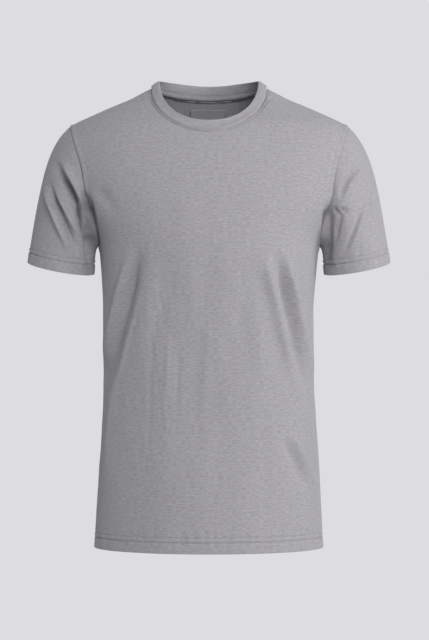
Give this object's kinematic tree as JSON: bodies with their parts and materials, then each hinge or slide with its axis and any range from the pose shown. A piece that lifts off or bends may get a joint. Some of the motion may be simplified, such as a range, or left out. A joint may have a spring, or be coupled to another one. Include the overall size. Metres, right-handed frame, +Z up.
{
  "type": "crew neck t-shirt",
  "caption": "Short-sleeved crew neck t-shirt in thin plain jersey, filled out as if worn, hollow and open at neck, cuffs and hem.",
  "frame": {"origin": "middle of the neck opening, level with the shoulder seams' high points, where the wearer's shoulders hold the shirt", "axes": "+Z up; -Y is the way the front faces; +X is the wearer's left"},
  "size_m": [0.562, 0.2489, 0.7245],
  "materials": {
    "jersey": "thin slub jersey knit, matt mid grey",
    "rib": "fine one-by-one rib knit, matt mid grey",
    "tape": "folded jersey tape, stitched, matt mid grey",
    "label": "blank smooth woven patch, matt dark grey"
  },
  "bodies": {
    "root": {"front": "jersey", "back": "jersey", "sleeve_left": "jersey", "sleeve_right": "jersey", "neck_rib": "rib", "neck_tape": "tape", "label": "label"}
  },
  "joints": []
}
